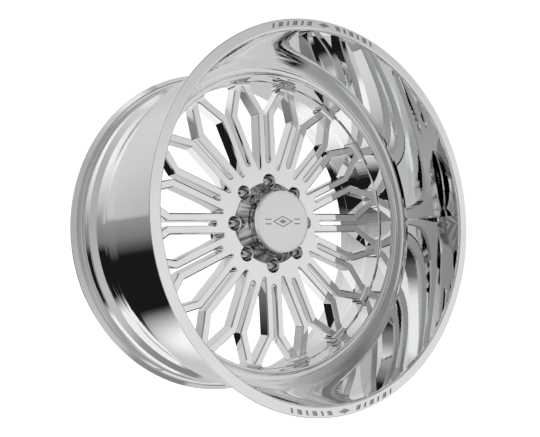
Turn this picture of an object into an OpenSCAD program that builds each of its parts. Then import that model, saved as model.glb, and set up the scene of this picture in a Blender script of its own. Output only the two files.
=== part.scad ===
// Deep-dish forged truck wheel, three-piece construction with the assembly
// hardware hidden behind the disc.
// Frame: wheel centre at the origin, axle along Y, street side towards -Y.
// Inside the modules local z is the depth behind the street-side flange face.

/* [Rim] */
// Overall width over both flanges
wheel_w = 379; // [372:1:386]
// Outer radius of the rim flanges
flange_r = 347.5; // [346:0.5:349]
// Bead seat radius at the heel
seat_r = 330.2; // [329.5:0.1:330.6]
// Radius where the two rim halves meet
joint_r = 326; // [325:0.5:327]
// Depth of the joint between the rim halves
joint_d = 198; // [196:0.5:200]
// Radius of the drop well behind the joint
well_r = 315; // [314:0.5:318]
// Inner radius of the lip just behind the street-side face
lip_front_r = 328; // [326:0.5:329]
// Radius of the rounded edge of the disc ring inside the lip
lip_root_r = 285; // [284.5:0.5:285.5]
// Depth of that edge behind the street-side face
seam_d = 152.4; // [151:0.2:153]

/* [Disc] */
// Depth of the flat spoke face
face_d = 197.4; // [196:0.2:199]
// Thickness of the spokes
spoke_t = 28; // [24:1:32]
// Number of narrow radial windows, and of diamond windows
window_n = 16; // [16:2:16]
// Half width of the narrow radial windows
slot_hw = 4.2; // [3.6:0.1:4.8]
// Radius of the rounded inner ends of the narrow windows
slot_in_r = 121; // [118:0.5:126]
// Width of the bars between windows, on the face
bar_w = 10.8; // [9:0.1:12]
// Radius of the elbows of the diamond windows
elbow_r = 222.6; // [218:0.2:228]
// Radius of the sharp outer tips of the diamond windows
tip_r = 284.4; // [281:0.2:285]
// Radius of the outer edge of the outer windows
window_out_r = 285; // [284:0.2:286]
// Size of the chamfer on the window edges
chamfer = 2.2; // [1:0.1:2.6]

/* [Hub] */
// Bolt circle diameter
pcd = 170; // [165.1:0.1:180]
// Number of lug holes
lug_n = 8; // [8:1:8]
// Radius of the lug bolt holes
lug_hole_r = 8; // [7:0.1:8.5]
// Radius of the lug pockets
lug_pocket_r = 13.2; // [12.5:0.1:14]
// Radius of the centre bore
bore_r = 62.55; // [62:0.05:62.7]
// Radius of the counterbore that holds the centre cap
cap_bore_r = 65.4; // [65.2:0.1:65.6]
// Depth of the mounting face
mount_d = 265.7; // [262:0.1:268]
// Radius of the mounting pad
pad_r = 104; // [100:0.5:105]

/* [Centre cap] */
// Radius of the cap
cap_r = 63.4; // [62:0.1:65]
// Height of the cap in front of the spoke face
cap_h = 41; // [36:0.5:46]
// Radius of the flared base of the cap
cap_base_r = 82; // [80:0.5:84]
// Radius of the cap's face plate
plate_r = 58.6; // [56:0.1:59]

/* [Hardware] */
// Number of assembly bolts
bolt_n = 24; // [16:8:24]
// Radius of the assembly bolt circle
bolt_pcr = 300.2; // [300:0.1:300.4]
// Depth of the tyre valve behind the street-side face
valve_d = 243; // [240:0.5:246]

/* [Hidden] */

polished = [0.86, 0.87, 0.88];
satin = [0.74, 0.75, 0.77];
steel = [0.62, 0.64, 0.66];
dark_steel = [0.30, 0.31, 0.33];
rubber_c = [0.07, 0.07, 0.07];
brass_c = [0.80, 0.65, 0.33];

lug_r = pcd / 2;
lip_n = 20;
ring_r = 292.8;
cap_front_d = face_d - cap_h;
chamfer_stop = 270;
spot_r = 316.1;
tyre_spot_r = 320.7;
wall = tyre_spot_r - spot_r;

module place() { rotate([-90, 0, 0]) translate([0, 0, -wheel_w / 2]) children(); }
module valve_place() { place() translate([0, spot_r, valve_d]) rotate([90, 0, 0]) children(); }

// ---- small 2-D helpers -------------------------------------------------
function unit(v) = v / norm(v);
function arc_pts(c, r, a0, a1, n) = [for (i = [0:n]) c + r * [cos(a0 + (a1 - a0) * i / n), sin(a0 + (a1 - a0) * i / n)]];
function bez(p0, p1, p2, p3, t) = p0 * pow(1 - t, 3) + p1 * 3 * t * pow(1 - t, 2) + p2 * 3 * t * t * (1 - t) + p3 * t * t * t;
// rounds the corner b of the path a-b-c with radius r, in n steps
function fillet(a, b, c, r, n) =
  let (u = unit(a - b), v = unit(c - b), half = acos(u * v) / 2,
       t = r / tan(half), s = unit(u + v), m = b + s * (r / sin(half)),
       p = b + u * t, q = b + v * t,
       a0 = atan2(p[1] - m[1], p[0] - m[0]), a1 = atan2(q[1] - m[1], q[0] - m[0]),
       da = a1 - a0, dd = da > 180 ? da - 360 : da < -180 ? da + 360 : da)
  [for (i = [0:n]) m + r * [cos(a0 + dd * i / n), sin(a0 + dd * i / n)]];
function turn(p, a) = [p[0] * cos(a) - p[1] * sin(a), p[0] * sin(a) + p[1] * cos(a)];
function flat(l) = [for (a = l) for (b = a) b];

// ---- window outlines: o is 0 at the through cut and chamfer at the face ----
half_pitch = 180 / window_n;
elbow_a = asin((slot_hw + chamfer + bar_w) / elbow_r);
// elbow and sharp outer tip of the diamond on the face, in the narrow window's frame
elbow_p = [elbow_r * cos(elbow_a), elbow_r * sin(elbow_a)];
tip_p = tip_r * [cos(half_pitch), sin(half_pitch)];
out_dir = unit(tip_p - elbow_p);
out_ang = atan2(out_dir[1], out_dir[0]);

// diamond on +X: its lines are parallel to the narrow windows inside the
// elbow and converge on the outer tip outside it
function diamond(o) =
  let (s = chamfer - o,
       ea = turn(elbow_p, -half_pitch),
       x_tip = tip_r, a2 = atan2(-ea[1], x_tip - ea[0]),
       tin = [(slot_hw + chamfer + bar_w + s) / sin(half_pitch), 0],
       tout = [x_tip - s / sin(a2), 0],
       s1 = tan(half_pitch), s2 = tan(a2),
       xe = (s2 * tout[0] + s1 * tin[0]) / (s1 + s2),
       up = [xe, s1 * (xe - tin[0])], dn = [xe, -s1 * (xe - tin[0])],
       ri = 4.9 - s, ro = 4.0 - s, re = 2.5)
  concat(fillet(dn, tin, up, ri, 6), fillet(tin, up, tout, re, 3),
         fillet(up, tout, dn, ro, 6), fillet(tout, dn, tin, re, 3));

// narrow window on +X that opens into the wide outer window, out to radius ro
function y_window(o, ro) =
  let (s = chamfer - o, hw = slot_hw + o,
       nv = [sin(out_ang), -cos(out_ang)],
       q = elbow_p + nv * (bar_w + s),
       mouth = [q[0] + (hw - q[1]) / tan(out_ang), hw],
       d = out_dir, b = q * d, c = q * q - ro * ro,
       corner = q + d * (-b + sqrt(b * b - c)),
       ca = atan2(corner[1], corner[0]),
       up_in = fillet([slot_in_r + 20, hw], mouth, corner, 4, 3),
       up_out = fillet(mouth, corner, ro * [cos(ca - 2.2), sin(ca - 2.2)], 6.2 - s * 0.3, 6),
       upper = concat(up_in, up_out),
       arc = [for (i = [1:7]) let (a = (ca - 2.6) * (1 - i / 4)) ro * [cos(a), sin(a)]],
       lower = [for (i = [len(upper) - 1:-1:0]) [upper[i][0], -upper[i][1]]],
       tipc = [slot_in_r + slot_hw + chamfer, 0],
       tip = [for (i = [0:8]) let (a = -90 - i * 22.5) tipc + hw * [cos(a), sin(a)]])
  concat(upper, arc, lower, tip);

// outline of the chamfer round the narrow window and along the sides of the
// outer window, as far as the foot of the ring
function y_chamfer(o) =
  let (s = chamfer - o, hw = slot_hw + o,
       nv = [sin(out_ang), -cos(out_ang)],
       q = elbow_p + nv * (bar_w + s),
       mouth = [q[0] + (hw - q[1]) / tan(out_ang), hw],
       stop = q + out_dir * ((chamfer_stop - q[0]) / out_dir[0]),
       upper = concat(fillet([slot_in_r + 20, hw], mouth, stop, 4, 3), [stop]),
       lower = [for (i = [len(upper) - 1:-1:0]) [upper[i][0], -upper[i][1]]],
       tipc = [slot_in_r + slot_hw + chamfer, 0],
       tip = [for (i = [0:8]) let (a = -90 - i * 22.5) tipc + hw * [cos(a), sin(a)]])
  concat(upper, lower, tip);

// closed side-chamfer cutter between two outlines with the same point count
module chamfer_cut(top, bot, z0, z1) {
  n = len(top);
  polyhedron(
    points = concat([for (p = top) [p[0], p[1], z0]], [for (p = bot) [p[0], p[1], z1]]),
    faces = concat([[for (i = [0:n - 1]) i]], [[for (i = [n - 1:-1:0]) n + i]],
      [for (i = [0:n - 1]) let (j = (i + 1) % n) [i, n + i, n + j, j]]));
}

// ---- rim -----------------------------------------------------------------
// inner surface of the lip, from the seam with the disc ring through the
// rounded valley and along the almost cylindrical wall to the face
valley_d = 166; // lowest point of the valley
lip_mid_r = 316.4; // radius where the wall leaves the valley
lip_curve = flat([
  [for (i = [0:8]) bez([ring_r + 0.05, seam_d + 4.2], [294.6, 162.5], [297.5, valley_d + 0.3], [302.5, valley_d], i / 8)],
  [for (i = [1:12]) bez([302.5, valley_d], [308, valley_d - 0.4], [lip_mid_r - 2.9, 152], [lip_mid_r, 135], i / 12)],
  [for (i = [1:lip_n]) bez([lip_mid_r, 135], [lip_mid_r + 5, 95], [lip_front_r - 3.7, 50], [lip_front_r - 0.6, 5], i / lip_n)],
  [for (i = [1:6]) bez([lip_front_r - 0.6, 5], [lip_front_r - 0.3, 2], [lip_front_r + 1.2, 0.2], [lip_front_r + 3.4, 0], i / 6)]]);

module outer_profile() {
  polygon(concat(
    lip_curve,
    [[flange_r - 1.2, 0], [flange_r - 0.4, 0.35], [flange_r, 1.1], [flange_r, 1.9]],
    [[flange_r - 0.5, 2.7], [338.8, 10.9], [336.6, 11.7], [seat_r + 2.3, 11.7], [seat_r + 0.7, 12.4], [seat_r, 14]],
    [[seat_r - 1.75, 36], [seat_r - 1.9, 44], [joint_r, joint_d]],
    [[ring_r + 0.05, joint_d]]));
}
module lip_mark(w, h, s) { polygon([[-w / 2 - s, -h / 2], [w / 2 - s, -h / 2], [w / 2 + s, h / 2], [-w / 2 + s, h / 2]]); }
module lip_marks() {
  // plain rows of slanted bars as neutral decoration, top and bottom
  for (side = [0, 180]) rotate([0, 0, side]) {
    for (i = [-7:7]) if (abs(i) > 1) rotate([0, 0, i * 2.7]) translate([0, -339.2, -1]) linear_extrude(height = 2)
      lip_mark(i % 2 == 0 ? 9.5 : 4.5, 7.6, i > 0 ? 2 : -2);
    translate([0, -339.2, -1]) linear_extrude(height = 2) polygon([[-13, 0], [0, -4.2], [13, 0], [0, 4.2]]);
  }
}
module outer_rim_half() {
  color(polished) place() difference() {
    rotate_extrude($fn = 240) outer_profile();
    for (i = [0:bolt_n - 1]) rotate([0, 0, (i + 0.5) * 360 / bolt_n]) translate([bolt_pcr, 0, 176])
      cylinder(r = 5.5, h = 30, $fn = 32);
    lip_marks();
  }
}
module inner_profile() {
  polygon([
    [joint_r, joint_d + 0.02], [321.5, 254], [well_r, 271], [well_r, 318], [well_r + 0.8, 320.3], [326.2, 330.6], [327.6, 332.6], [329.5, 336.5], [329.7, 339.5], [328.4, 343.5],
    [seat_r, 365], [seat_r + 0.7, 366.6], [seat_r + 2.3, 367.3], [336.6, 367.3], [338.8, 368.1], [flange_r - 0.5, 376.3],
    [flange_r, 377.1], [flange_r, 378], [flange_r - 0.4, 378.7], [flange_r - 1.2, 379], [334, 379], [331.5, 378.4], [329.6, 377],
    [323.4, 369], [322.4, 366], [320.6, 346], [320.3, 337.5], [318.8, 334.5], [309.2, 324.2], [308, 321],
    [308, 318], [310.4, 268], [316.2, 228], [315.8, 223], [313.6, 219], [310, 216.6], [308, 216.2], [296, 216.2], [296, 208.2], [314.1, 208.2], [314.1, joint_d + 0.02],
    [317.8, joint_d + 0.02], [317.8, joint_d + 2.4], [321.2, joint_d + 2.4], [321.2, joint_d + 0.02]]);
}
module inner_rim_half() {
  color(polished) place() difference() {
    rotate_extrude($fn = 240) inner_profile();
    for (i = [0:bolt_n - 1]) rotate([0, 0, (i + 0.5) * 360 / bolt_n]) translate([bolt_pcr, 0, 200])
      cylinder(r = 4.3, h = 30, $fn = 32);
    // valve hole with a spot face on both sides
    translate([0, spot_r, valve_d]) rotate([90, 0, 0]) {
      translate([0, 0, -30]) cylinder(r = 5.8, h = 60, $fn = 48);
      cylinder(r = 11, h = 20, $fn = 48);
      translate([0, 0, -wall - 12]) cylinder(r = 10.6, h = 12, $fn = 48);
    }
  }
}
module rim_seal_ring() {
  color(rubber_c) place() rotate_extrude($fn = 180)
    translate([319.5, joint_d + 1.22]) circle(r = 1.17, $fn = 24);
}

// ---- disc ------------------------------------------------------------------
module disc_profile() {
  polygon(concat(
    [[cap_bore_r + 0.8, face_d], [275.5, face_d]],
    [for (i = [1:8]) let (a = 90 - i * 80 / 8) [275.5 + 12 * cos(a), face_d - 12 + 12 * sin(a)]],
    [[lip_root_r + 0.5, seam_d + 2.6], [lip_root_r + 0.8, seam_d + 1.2], [lip_root_r + 1.8, seam_d + 0.3], [lip_root_r + 3.2, seam_d]],
    [[lip_root_r + 4.8, seam_d + 0.5], [lip_root_r + 6.4, seam_d + 1.9], [ring_r, seam_d + 4.2]],
    [[ring_r, joint_d + 0.02], [314, joint_d + 0.02], [314, 208.2], [ring_r, 208.2], [ring_r, 222], [290, face_d + spoke_t - 1]],
    [[287, face_d + spoke_t], [150, face_d + spoke_t + 1], [118, face_d + spoke_t + 9], [108, 246], [106, 258], [pad_r, mount_d], [bore_r + 1.5, mount_d], [bore_r, mount_d - 1.5], [bore_r, 222.5], [cap_bore_r, 222.5], [cap_bore_r, face_d + 0.8]]));
}
module centre_disc() {
  color(polished) place() difference() {
    rotate_extrude($fn = 240) disc_profile();
    for (i = [0:window_n - 1]) rotate([0, 0, i * 360 / window_n]) translate([0, 0, 150])
      linear_extrude(height = 130) polygon(y_window(0, window_out_r));
    for (i = [0:window_n - 1]) rotate([0, 0, (i + 0.5) * 360 / window_n]) translate([0, 0, 150])
      linear_extrude(height = 130) polygon(diamond(0));
    for (i = [0:window_n - 1]) rotate([0, 0, i * 360 / window_n])
      chamfer_cut(y_chamfer(chamfer + 0.4), y_chamfer(-0.4), face_d - 0.4, face_d + chamfer + 0.4);
    for (i = [0:window_n - 1]) rotate([0, 0, (i + 0.5) * 360 / window_n])
      chamfer_cut(diamond(chamfer + 0.4), diamond(-0.4), face_d - 0.4, face_d + chamfer + 0.4);
    for (i = [0:lug_n - 1]) rotate([0, 0, i * 360 / lug_n]) translate([lug_r, 0, 0]) {
      translate([0, 0, face_d - 1]) cylinder(r = lug_pocket_r, h = mount_d - 22 - face_d + 1, $fn = 64);
      translate([0, 0, face_d - 0.2]) cylinder(r1 = lug_pocket_r + 1.6, r2 = lug_pocket_r - 0.2, h = 1.8, $fn = 64);
      translate([0, 0, mount_d - 22]) rotate_extrude($fn = 64) polygon([[0, -1], [11.6, -1], [11.6, 0], [lug_hole_r, 6.3], [0, 6.3]]);
      translate([0, 0, mount_d - 20]) cylinder(r = lug_hole_r, h = 30, $fn = 48);
    }
    // relief pockets in the mounting pad, between the lug holes
    for (i = [0:lug_n - 1]) rotate([0, 0, (i + 0.5) * 360 / lug_n]) translate([84, 0, mount_d - 38])
      cylinder(r = 11.5, h = 50, $fn = 48);
    for (i = [0:bolt_n - 1]) rotate([0, 0, (i + 0.5) * 360 / bolt_n]) translate([bolt_pcr, 0, 190])
      cylinder(r = 4.3, h = 30, $fn = 32);
  }
}

// ---- assembly hardware --------------------------------------------------
module bolt_ring() { for (i = [0:bolt_n - 1]) rotate([0, 0, (i + 0.5) * 360 / bolt_n]) translate([bolt_pcr, 0, 0]) children(); }
module assembly_bolts() {
  color(steel) place() bolt_ring() difference() {
    union() {
      translate([0, 0, 217.8]) rotate_extrude($fn = 32) polygon([[0, 0], [6.5, 0], [6.5, 7.2], [5.9, 8], [0, 8]]);
      translate([0, 0, 179]) cylinder(r = 4, h = 39.2, $fn = 32);
    }
    translate([0, 0, 221.3]) cylinder(r = 3.46, h = 6, $fn = 6);
  }
}
module assembly_washers() {
  color(steel) place() bolt_ring() translate([0, 0, 216.2]) difference() {
    cylinder(r = 7, h = 1.6, $fn = 48);
    translate([0, 0, -1]) cylinder(r = 4.2, h = 4, $fn = 32);
  }
}
module rim_thread_inserts() {
  color(dark_steel) place() bolt_ring() translate([0, 0, 177]) difference() {
    cylinder(r = 5.5, h = 20.6, $fn = 32);
    translate([0, 0, -1]) cylinder(r = 4, h = 24, $fn = 32);
  }
}

// ---- centre cap -----------------------------------------------------------
spigot_r = cap_bore_r - 0.35;
module cap_body() {
  color(polished) place() difference() {
    rotate_extrude($fn = 180) polygon(concat(
      [[0, cap_front_d + 3.2], [plate_r + 0.05, cap_front_d + 3.2], [plate_r + 0.05, cap_front_d + 0.3], [plate_r + 0.35, cap_front_d], [60.2, cap_front_d]],
      [[cap_r, cap_front_d + 3.4], [cap_r, cap_front_d + 14]],
      [for (i = [0:8]) bez([cap_r, cap_front_d + 15], [cap_r + 0.6, cap_front_d + 20], [cap_r + 7, cap_front_d + 27.5], [cap_base_r - 1, face_d - 1.6], i / 8)],
      [[cap_base_r, face_d - 0.9], [cap_base_r, face_d], [spigot_r, face_d]],
      [[spigot_r, 205], [spigot_r - 2.2, 205], [spigot_r - 2.2, 208], [spigot_r, 208], [spigot_r, 213], [spigot_r - 1.8, 213], [spigot_r - 1.8, 215.4], [spigot_r, 215.4]],
      [[spigot_r, 219], [spigot_r - 1.6, 221], [54.5, 221], [54, 220.5], [54, 168], [52, 165.4], [0, 165.4]]));
    for (i = [0:lug_n - 1]) rotate([0, 0, i * 360 / lug_n]) translate([lug_r, 0, 150])
      cylinder(r = 15.6, h = 60, $fn = 64);
    for (i = [0:3]) rotate([0, 0, 45 + i * 90]) translate([40, 0, 150]) cylinder(r = 2.2, h = 30, $fn = 24);
  }
}
module cap_face_plate() {
  color(satin) place() difference() {
    translate([0, 0, cap_front_d]) rotate_extrude($fn = 180)
      polygon([[0, 0], [plate_r - 0.6, 0], [plate_r, 0.6], [plate_r, 3.2], [0, 3.2]]);
    // engraved neutral motif: a lozenge in a ring, with two bars each side
    translate([0, 0, cap_front_d - 1]) linear_extrude(height = 1.5) {
      difference() { polygon([[-24, 0], [0, -11], [24, 0], [0, 11]]); polygon([[-19.5, 0], [0, -8.9], [19.5, 0], [0, 8.9]]); }
      polygon([[-9, 0], [0, -4.1], [9, 0], [0, 4.1]]);
      for (s = [-1, 1]) for (k = [-1, 1]) translate([s * 34, k * 4.5]) square([14, 2.2], center = true);
    }
    for (i = [0:3]) rotate([0, 0, 45 + i * 90]) translate([40, 0, cap_front_d + 1.2]) cylinder(r = 1.65, h = 3, $fn = 24);
  }
}
module cap_plate_screws() {
  color(steel) place() for (i = [0:3]) rotate([0, 0, 45 + i * 90]) translate([40, 0, 0]) difference() {
    union() {
      translate([0, 0, 165.4]) rotate_extrude($fn = 32) polygon([[0, 0], [3.8, 0], [3.8, 1.2], [2.8, 2.6], [0, 2.9]]);
      translate([0, 0, cap_front_d + 3.2 - 1.9]) cylinder(r = 1.6, h = 165.6 - cap_front_d - 1.3, $fn = 24);
    }
    translate([0, 0, 166.9]) cylinder(r = 1.15, h = 3, $fn = 6);
  }
}
module cap_retaining_ring() {
  color(dark_steel) place() difference() {
    rotate_extrude($fn = 120) translate([spigot_r - 0.72, 214.2]) circle(r = 0.92, $fn = 20);
    rotate([0, 0, 90]) translate([55, -4, 210]) cube([12, 8, 10]);
  }
}
module cap_o_ring() {
  color(rubber_c) place() rotate_extrude($fn = 120) translate([spigot_r - 0.95, 206.5]) circle(r = 1.2, $fn = 24);
}

// ---- tyre valve, z runs out of the rim towards the axle ------------------
module valve_stem() {
  color(steel) valve_place() difference() {
    rotate_extrude($fn = 48) polygon([[0, -wall - 5.4], [7.2, -wall - 5.4], [8.4, -wall - 4.2], [8.4, -wall - 2.4], [4.15, -wall - 2.4], [4.15, 13], [3.85, 13.4], [3.85, 23.4], [3.5, 23.9], [0, 23.9]]);
    translate([0, 0, -14]) cylinder(r = 1.7, h = 22, $fn = 32);
    translate([0, 0, 6]) cylinder(r = 2.6, h = 20, $fn = 32);
  }
}
module valve_grommet() {
  color(rubber_c) valve_place() rotate_extrude($fn = 48)
    polygon([[4.2, -wall - 2.35], [8.8, -wall - 2.35], [9.3, -wall - 1.6], [9.3, -wall - 0.05], [5.7, -wall - 0.05], [5.5, -1], [4.2, -1]]);
}
module valve_washer() {
  color(steel) valve_place() difference() {
    rotate_extrude($fn = 48) polygon([[0, 0], [8.8, 0], [8.8, 1], [8.2, 1.6], [0, 1.6]]);
    translate([0, 0, -1]) cylinder(r = 4.25, h = 4, $fn = 32);
  }
}
module valve_nut() {
  color(steel) valve_place() translate([0, 0, 1.6]) difference() {
    intersection() {
      cylinder(r = 6.9, h = 6, $fn = 6);
      rotate_extrude($fn = 48) polygon([[0, 0], [7, 0], [7, 5.2], [6, 6], [0, 6]]);
    }
    translate([0, 0, -1]) cylinder(r = 4.15, h = 9, $fn = 32);
  }
}
module valve_core_body() {
  color(brass_c) valve_place() rotate_extrude($fn = 48)
    polygon([[0.85, 23.4], [2.5, 23.4], [2.58, 23.2], [2.58, 17], [2.2, 16.6], [2.2, 8.2], [1.5, 7.6], [1.5, 6.4], [0.85, 6.4], [0.85, 8.4], [1.75, 9], [1.75, 16.2], [0.85, 16.2]]);
}
spring_turns = 5;
spring_segs = 60;
spring_sides = 8;
spring_z0 = 9.2;
spring_z1 = 14.6;
spring_coil_r = 1.32;
spring_wire_r = 0.2;
function spring_ring(t) =
  let (a = 360 * spring_turns * t, c = [spring_coil_r * cos(a), spring_coil_r * sin(a), spring_z0 + (spring_z1 - spring_z0) * t],
       e = [cos(a), sin(a), 0])
  [for (k = [0:spring_sides - 1]) let (b = 360 * k / spring_sides) c + spring_wire_r * (cos(b) * e + sin(b) * [0, 0, 1])];
module valve_core_spring() {
  m = spring_sides;
  n = spring_segs;
  pts = flat([for (i = [0:n]) spring_ring(i / n)]);
  color(steel) valve_place() polyhedron(points = pts, faces = concat(
    [[for (k = [0:m - 1]) k]], [[for (k = [m - 1:-1:0]) n * m + k]],
    flat([for (i = [0:n - 1]) [for (k = [0:m - 1]) let (j = (k + 1) % m) [i * m + k, (i + 1) * m + k, (i + 1) * m + j, i * m + j]]])));
}
module valve_core_pin() {
  color(brass_c) valve_place() rotate_extrude($fn = 32)
    polygon([[0, 2.6], [0.6, 2.6], [0.6, 14.9], [1.6, 14.9], [1.6, 15.4], [0.6, 15.6], [0.6, 23], [0.75, 23.2], [0.75, 23.8], [0, 23.8]]);
}
module valve_core_seal() {
  color(rubber_c) valve_place() rotate_extrude($fn = 32)
    polygon([[0.6, 4.6], [1.55, 4.6], [1.55, 6.3], [0.6, 6.3]]);
}
module valve_cap() {
  color(satin) valve_place() difference() {
    rotate_extrude($fn = 48) polygon([[0, 28], [4.4, 28], [5.1, 27.3], [5.1, 15.6], [4.7, 15.2], [3.95, 15.2], [3.95, 25.9], [0, 25.9]]);
    for (i = [0:11]) rotate([0, 0, i * 30]) translate([5.5, 0, 17]) cylinder(r = 0.65, h = 20, $fn = 16);
  }
}
module valve_cap_seal() {
  color(rubber_c) valve_place() translate([0, 0, 24.1]) difference() {
    cylinder(r = 3.8, h = 1.6, $fn = 32);
    translate([0, 0, -1]) cylinder(r = 1.3, h = 4, $fn = 32);
  }
}

centre_disc();
outer_rim_half();
inner_rim_half();
rim_seal_ring();
assembly_bolts();
assembly_washers();
rim_thread_inserts();
cap_body();
cap_face_plate();
cap_plate_screws();
cap_retaining_ring();
cap_o_ring();
valve_stem();
valve_grommet();
valve_washer();
valve_nut();
valve_core_body();
valve_core_spring();
valve_core_pin();
valve_core_seal();
valve_cap();
valve_cap_seal();
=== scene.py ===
# Deep-dish forged wheel: materials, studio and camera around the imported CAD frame.
import math

import bpy
from mathutils import Matrix, Vector


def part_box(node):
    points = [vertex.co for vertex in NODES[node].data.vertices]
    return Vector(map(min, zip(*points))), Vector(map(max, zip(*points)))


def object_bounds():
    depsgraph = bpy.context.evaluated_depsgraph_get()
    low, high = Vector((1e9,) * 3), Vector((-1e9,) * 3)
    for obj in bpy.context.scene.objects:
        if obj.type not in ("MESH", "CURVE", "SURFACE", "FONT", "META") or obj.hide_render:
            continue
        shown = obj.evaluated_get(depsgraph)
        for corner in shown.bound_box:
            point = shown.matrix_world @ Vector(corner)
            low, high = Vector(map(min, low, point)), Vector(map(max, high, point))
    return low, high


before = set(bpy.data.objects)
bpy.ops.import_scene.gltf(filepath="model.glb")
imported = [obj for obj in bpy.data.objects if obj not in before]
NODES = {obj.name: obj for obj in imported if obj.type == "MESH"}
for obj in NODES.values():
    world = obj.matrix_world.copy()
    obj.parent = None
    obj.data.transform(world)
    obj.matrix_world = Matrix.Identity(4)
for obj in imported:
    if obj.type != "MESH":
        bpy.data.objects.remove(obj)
cad_lo, cad_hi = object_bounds()

scene = bpy.context.scene
scene.view_settings.view_transform = "Standard"
scene.view_settings.look = "None"
scene.view_settings.exposure = 0.0
scene.view_settings.gamma = 1.0

# ---------------------------------------------------------------- camera
CAM_AT = Vector((-0.7416, -1.0934, -0.0828))
CAM_RIGHT = Vector((0.8313, -0.5539, -0.0463)).normalized()
CAM_UP = Vector((0.0, -0.0833, 0.9965)).normalized()
CAM_BACK = CAM_RIGHT.cross(CAM_UP).normalized()
CAM_UP = CAM_BACK.cross(CAM_RIGHT).normalized()

cam_data = bpy.data.cameras.new("studio_camera")
cam_data.sensor_width = 36.0
cam_data.lens = 44.35
cam_data.clip_start = 0.01
cam_data.clip_end = 50.0
cam = bpy.data.objects.new("studio_camera", cam_data)
scene.collection.objects.link(cam)
cam.matrix_world = Matrix((
    (CAM_RIGHT.x, CAM_UP.x, CAM_BACK.x, CAM_AT.x),
    (CAM_RIGHT.y, CAM_UP.y, CAM_BACK.y, CAM_AT.y),
    (CAM_RIGHT.z, CAM_UP.z, CAM_BACK.z, CAM_AT.z),
    (0.0, 0.0, 0.0, 1.0),
))
scene.camera = cam


# ---------------------------------------------------------------- node helpers
def srgb(v):
    """Display value to scene-linear value."""
    return v / 12.92 if v <= 0.04045 else ((v + 0.055) / 1.055) ** 2.4


class Tree:
    """Short forms for building a shader tree."""

    def __init__(self, tree):
        self.t = tree
        self.t.nodes.clear()

    def new(self, kind, **props):
        n = self.t.nodes.new(kind)
        for k, v in props.items():
            setattr(n, k, v)
        return n

    def link(self, a, b):
        self.t.links.new(a, b)

    def put(self, socket, v):
        if isinstance(v, bpy.types.NodeSocket):
            self.link(v, socket)
        else:
            socket.default_value = v

    def math(self, op, a, b=None, c=None, clamp=False):
        n = self.new("ShaderNodeMath", operation=op, use_clamp=clamp)
        for s, v in zip(n.inputs, (a, b, c)):
            if v is not None:
                self.put(s, v)
        return n.outputs[0]

    def dot(self, v, d):
        n = self.new("ShaderNodeVectorMath", operation="DOT_PRODUCT")
        self.put(n.inputs[0], v)
        n.inputs[1].default_value = d
        return n.outputs["Value"]

    def range(self, v, a, b, lo=0.0, hi=1.0, smooth=False):
        n = self.new("ShaderNodeMapRange", clamp=True)
        n.interpolation_type = "SMOOTHSTEP" if smooth else "LINEAR"
        self.put(n.inputs["Value"], v)
        n.inputs["From Min"].default_value = a
        n.inputs["From Max"].default_value = b
        n.inputs["To Min"].default_value = lo
        n.inputs["To Max"].default_value = hi
        return n.outputs["Result"]

    def ramp(self, v, stops, interpolation="LINEAR"):
        """stops are (position 0..1, grey or rgb)."""
        n = self.new("ShaderNodeValToRGB")
        cr = n.color_ramp
        cr.interpolation = interpolation
        while len(cr.elements) > 1:
            cr.elements.remove(cr.elements[-1])
        for i, (p, c) in enumerate(stops):
            e = cr.elements[0] if i == 0 else cr.elements.new(p)
            e.position = p
            e.color = (c, c, c, 1) if not isinstance(c, tuple) else (*c, 1)
        self.put(n.inputs["Fac"], v)
        return n.outputs["Color"]

    def mix(self, f, a, b):
        n = self.new("ShaderNodeMix", data_type="RGBA", clamp_factor=True)
        self.put(n.inputs[0], f)
        self.put(n.inputs[6], a)
        self.put(n.inputs[7], b)
        return n.outputs[2]


# ---------------------------------------------------------------- studio world
UP = CAM_UP                                    # the studio is level with the camera
FRONT = (Vector((0, -1, 0)) - UP * Vector((0, -1, 0)).dot(UP)).normalized()
RIGHT = Vector((1.0, 0.0, 0.0))


def elevation_ramp(t, el, stops):
    """stops are (elevation in degrees, display value)."""
    return t.ramp(t.range(el, -90, 90), [((e + 90) / 180, srgb(v)) for e, v in stops])


world = bpy.data.worlds.new("studio")
world.use_nodes = True
scene.world = world
w = Tree(world.node_tree)
co = w.new("ShaderNodeTexCoord").outputs["Generated"]
up, fr, rt = w.dot(co, UP), w.dot(co, FRONT), w.dot(co, RIGHT)
el = w.math("MULTIPLY", w.math("ARCSINE", up), 57.29578)
az = w.math("MULTIPLY", w.math("ARCTAN2", rt, fr), 57.29578)     # 0 street side, 90 right, +-180 behind

# A light plan: levels in tenths, heights in steps of 5 degrees, and one hard edge along the top of the skirting. Each wall is (elevation, display value) from floor to ceiling.
BACK = [(-90, 1.0), (-30, 1.0), (-25, 0.1), (-10, 0.1), (-5, 0.5), (0, 0.6), (1, 0.8), (45, 0.9), (55, 0.6), (90, 0.7)]    # white floor, black gap, skirting, white sweep
LEFT = [(-90, 1.0), (-45, 1.0), (-35, 0.1), (-10, 0.1), (-5, 0.5), (5, 0.6), (15, 0.8), (40, 1.0), (90, 0.9)]             # the same with a deeper gap
SIDE = [(-90, 1.0), (-50, 0.8), (0, 0.7), (40, 0.7), (90, 0.9)]
GREY = [(-90, 0.5), (-20, 0.7), (0, 0.6), (90, 0.6)]
PANEL = [(-90, 0.5), (-30, 0.7), (-20, 0.9), (10, 0.9), (30, 0.7), (50, 0.5), (90, 0.6)]                                  # large white panel
RIGHT = [(-90, 0.8), (90, 0.8)]
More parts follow.
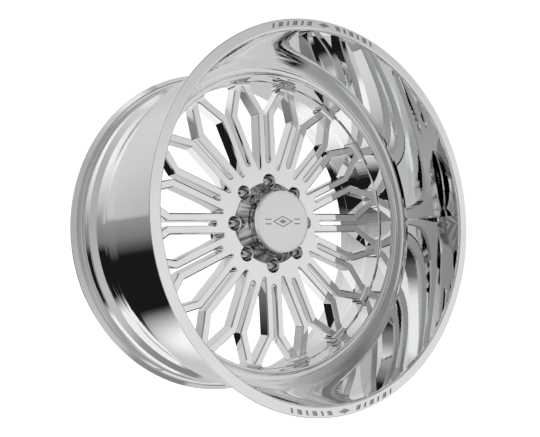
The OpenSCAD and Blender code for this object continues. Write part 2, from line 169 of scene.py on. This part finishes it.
# (azimuth in degrees, wall): 0 is the street side, 90 is right
WALLS = [(-180, BACK), (-110, LEFT), (-95, LEFT), (-85, SIDE), (-65, SIDE), (-55, GREY), (-10, GREY), (10, PANEL), (50, PANEL), (75, RIGHT),
         (165, RIGHT), (180, BACK)]
studio = elevation_ramp(w, el, WALLS[0][1])
for (a0, _), (a1, wall) in zip(WALLS, WALLS[1:]):
    studio = w.mix(w.range(az, a0, a1, smooth=True), studio, elevation_ramp(w, el, wall))
flag = w.math("MULTIPLY", w.math("MULTIPLY", w.range(az, 25, 30), w.range(az, 40, 45, 1.0, 0.0)),
              w.math("MULTIPLY", w.range(el, -45, -35), w.range(el, -25, -20, 1.0, 0.0)))       # a dark flag low on the right
studio = w.mix(flag, studio, (0.01, 0.01, 0.01, 1.0))
sky = w.new("ShaderNodeBackground")
w.link(studio, sky.inputs["Color"])
sky.inputs["Strength"].default_value = 1.0
paper = w.new("ShaderNodeBackground")
paper.inputs["Color"].default_value = (1, 1, 1, 1)
paper.inputs["Strength"].default_value = 1.1
pick = w.new("ShaderNodeMixShader")
w.link(w.new("ShaderNodeLightPath").outputs["Is Camera Ray"], pick.inputs[0])
w.link(sky.outputs[0], pick.inputs[1])
w.link(paper.outputs[0], pick.inputs[2])
w.link(pick.outputs[0], w.new("ShaderNodeOutputWorld").inputs["Surface"])


# ---------------------------------------------------------------- floor
def make_floor():
    n, r = 96, 6.0
    z = cad_lo.z - 0.0005
    verts = [(0.0, 0.0, z)] + [(r * math.cos(2 * math.pi * i / n), r * math.sin(2 * math.pi * i / n), z) for i in range(n)]
    faces = [(0, 1 + i, 1 + (i + 1) % n) for i in range(n)]
    me = bpy.data.meshes.new("floor")
    me.from_pydata(verts, [], faces)
    ob = bpy.data.objects.new("floor", me)
    scene.collection.objects.link(ob)
    m = bpy.data.materials.new("pale_floor")
    m.use_nodes = True
    t = Tree(m.node_tree)
    b = t.new("ShaderNodeBsdfPrincipled")
    b.inputs["Base Color"].default_value = (0.95, 0.95, 0.95, 1)
    b.inputs["Roughness"].default_value = 0.9
    b.inputs["Specular IOR Level"].default_value = 0.0
    b.inputs["Emission Color"].default_value = (1, 1, 1, 1)
    b.inputs["Emission Strength"].default_value = 1.0
    t.link(b.outputs[0], t.new("ShaderNodeOutputMaterial").inputs["Surface"])
    me.materials.append(m)
    ob.visible_glossy = False                   # the polish mirrors the studio, not the paper it stands on
    ob.visible_diffuse = False
    return ob


make_floor()


# ---------------------------------------------------------------- materials
def metal(name, colour, rough, rough_spread=0.25, tint=0.03, grooves=None, ripple_and_painted_reflection=None, recess=0.38, matt=0.3):
    """A metal with faint colour drift and roughness drift; grooves is a function that gives a 0..1 mask of recesses,
    which take the grey recess and matt more roughness (in the lug pockets the grey is painted shade).
    """
    m = bpy.data.materials.new(name)
    m.use_nodes = True
    t = Tree(m.node_tree)
    b = t.new("ShaderNodeBsdfPrincipled")
    b.inputs["Metallic"].default_value = 1.0
    pos = t.new("ShaderNodeTexCoord").outputs["Object"]
    drift = t.new("ShaderNodeTexNoise")
    drift.inputs["Scale"].default_value = 9.0
    drift.inputs["Detail"].default_value = 3.0
    t.link(pos, drift.inputs["Vector"])
    lo = tuple(max(0.0, c * (1 - tint)) for c in colour)
    hi = tuple(min(1.0, c * (1 + tint)) for c in colour)
    base = t.ramp(drift.outputs["Fac"], [(0.3, lo), (0.7, hi)])
    fine = t.new("ShaderNodeTexNoise")
    fine.inputs["Scale"].default_value = 260.0
    fine.inputs["Detail"].default_value = 2.0
    t.link(pos, fine.inputs["Vector"])
    dull = t.range(fine.outputs["Fac"], 0.25, 0.75, rough * (1 - rough_spread), rough * (1 + rough_spread))
    if grooves:
        mask = grooves(t, pos)
        base = t.mix(mask, base, (recess, recess, recess, 1.0))
        dull = t.math("ADD", t.math("MULTIPLY", mask, matt), dull)
    if ripple_and_painted_reflection:
        base, normal = ripple_and_painted_reflection(t, pos, base)
        t.link(normal, b.inputs["Normal"])
    t.put(b.inputs["Base Color"], base)
    t.put(b.inputs["Roughness"], dull)
    t.link(b.outputs[0], t.new("ShaderNodeOutputMaterial").inputs["Surface"])
    return m


def split(t, pos):
    """x, y, z and the distance from the axle."""
    n = t.new("ShaderNodeSeparateXYZ")
    t.link(pos, n.inputs[0])
    x, y, z = n.outputs
    r = t.math("SQRT", t.math("ADD", t.math("MULTIPLY", x, x), t.math("MULTIPLY", z, z)))
    return x, y, z, r


def band(t, v, a, b, soft):
    """1 between a and b, fading to 0 over soft outside."""
    return t.math("MULTIPLY", t.range(v, a - soft, a), t.range(v, b, b + soft, 1.0, 0.0))


def flange_marks(t, pos):
    x, y, z, r = split(t, pos)
    return t.math("MULTIPLY", band(t, y, cad_lo.y + 0.0002, cad_lo.y + 0.0012, 0.0001), band(t, r, 0.3325, 0.3448, 0.0002))


def plate_marks(t, pos):
    x, y, z, r = split(t, pos)
    d = plate_y
    return t.math("MULTIPLY", band(t, y, d + 0.0001, d + 0.0007, 0.0001), t.range(r, 0.053, 0.0535, 1.0, 0.0))


def lug_pockets(t, pos):
    """The eight bored pockets on the 170 mm circle get painted shade inside, below the face: a darker grey, roughness
    unchanged. The turn is folded to one eighth.
    """
    x, y, z, r = split(t, pos)
    eighth = math.pi / 4
    turn = t.math("ADD", t.math("ARCTAN2", z, x), eighth * 8.5)
    fold = t.math("SUBTRACT", t.math("MODULO", turn, eighth), eighth / 2)
    px = t.math("SUBTRACT", t.math("MULTIPLY", r, t.math("COSINE", fold)), 0.085)
    pz = t.math("MULTIPLY", r, t.math("SINE", fold))
    away = t.math("SQRT", t.math("ADD", t.math("MULTIPLY", px, px), t.math("MULTIPLY", pz, pz)))
    return t.math("MULTIPLY", t.range(away, 0.0134, 0.0137, 1.0, 0.0), t.range(y, face_y + 0.0001, face_y + 0.0006))


def cap_side(t, pos, base):
    """The cap's turned side gets shallow bump waves round it and a painted reflection: dark and light waves painted
    into its colour, roughness unchanged; its rim stays bright.
    """
    x, y, z, r = split(t, pos)
    on_side = t.math("MULTIPLY", t.range(y, plate_y + 0.003, plate_y + 0.005), t.range(r, 0.0615, 0.0628))
    turn = t.math("ARCTAN2", z, x)
    at = t.new("ShaderNodeCombineXYZ")
    t.put(at.inputs[0], t.math("MULTIPLY", t.math("SINE", turn), 3.0))
    t.put(at.inputs[1], t.math("MULTIPLY", t.math("COSINE", turn), 3.0))
    t.put(at.inputs[2], t.math("MULTIPLY", y, 13.0))
    wave = t.new("ShaderNodeTexNoise")
    wave.inputs["Scale"].default_value = 2.3
    wave.inputs["Detail"].default_value = 1.2
    wave.inputs["Distortion"].default_value = 0.6
    t.link(at.outputs[0], wave.inputs["Vector"])
    bump = t.new("ShaderNodeBump")
    bump.inputs["Distance"].default_value = 0.004
    t.put(bump.inputs["Strength"], t.math("MULTIPLY", on_side, 0.75))
    t.link(wave.outputs["Fac"], bump.inputs["Height"])
    # painted reflection of the surroundings: dark to light waves painted into the side's colour
    shade = t.ramp(wave.outputs["Fac"], [(0.34, 0.2), (0.48, 0.42), (0.62, 0.74)])
    return t.mix(on_side, base, shade), bump.outputs["Normal"]


plate_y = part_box("cap_face_plate")[0].y
face_y = 0.0079                                 # the flat front of the spokes
MIRROR = metal("polished_aluminium", (0.905, 0.915, 0.91), 0.02)
# the disc's lug pockets take recess grey 0.7 and no added roughness: painted shade inside the pockets
DISC = metal("polished_disc", (0.88, 0.89, 0.885), 0.025, grooves=lug_pockets, recess=0.7, matt=0.0)
OUTER = metal("polished_lip", (0.88, 0.89, 0.885), 0.02, grooves=flange_marks)
# the cap's side carries bump waves and painted reflection waves in its colour
CAP = metal("polished_cap", (0.86, 0.87, 0.865), 0.03, ripple_and_painted_reflection=cap_side)
PLATE = metal("satin_plate", (0.78, 0.79, 0.79), 0.16, grooves=plate_marks)
STEEL = metal("steel", (0.62, 0.62, 0.61), 0.25)
PLATED = metal("plated_steel", (0.72, 0.72, 0.71), 0.16)
DARK = metal("dark_steel", (0.16, 0.16, 0.17), 0.35)
BRASS = metal("brass", (0.80, 0.62, 0.30), 0.18)


def rubber():
    m = bpy.data.materials.new("rubber")
    m.use_nodes = True
    t = Tree(m.node_tree)
    b = t.new("ShaderNodeBsdfPrincipled")
    pos = t.new("ShaderNodeTexCoord").outputs["Object"]
    n = t.new("ShaderNodeTexNoise")
    n.inputs["Scale"].default_value = 120.0
    n.inputs["Detail"].default_value = 4.0
    t.link(pos, n.inputs["Vector"])
    t.link(t.ramp(n.outputs["Fac"], [(0.3, (0.012, 0.012, 0.012)), (0.7, (0.03, 0.03, 0.031))]), b.inputs["Base Color"])
    t.link(t.range(n.outputs["Fac"], 0.3, 0.7, 0.55, 0.75), b.inputs["Roughness"])
    bump = t.new("ShaderNodeBump")
    bump.inputs["Strength"].default_value = 0.2
    bump.inputs["Distance"].default_value = 0.0002
    t.link(n.outputs["Fac"], bump.inputs["Height"])
    t.link(bump.outputs["Normal"], b.inputs["Normal"])
    t.link(b.outputs[0], t.new("ShaderNodeOutputMaterial").inputs["Surface"])
    return m


RUBBER = rubber()
FINISH = {
    "centre_disc": DISC, "outer_rim_half": OUTER, "inner_rim_half": MIRROR, "rim_seal_ring": RUBBER,
    "assembly_bolts": STEEL, "assembly_washers": STEEL, "rim_thread_inserts": DARK,
    "cap_body": CAP, "cap_face_plate": PLATE, "cap_plate_screws": STEEL, "cap_retaining_ring": DARK, "cap_o_ring": RUBBER,
    "valve_stem": PLATED, "valve_grommet": RUBBER, "valve_washer": PLATED, "valve_nut": PLATED,
    "valve_core_body": BRASS, "valve_core_spring": STEEL, "valve_core_pin": BRASS, "valve_core_seal": RUBBER,
    "valve_cap": PLATED, "valve_cap_seal": RUBBER,
}
for name, ob in NODES.items():
    ob.data.materials.clear()
    ob.data.materials.append(FINISH[name])
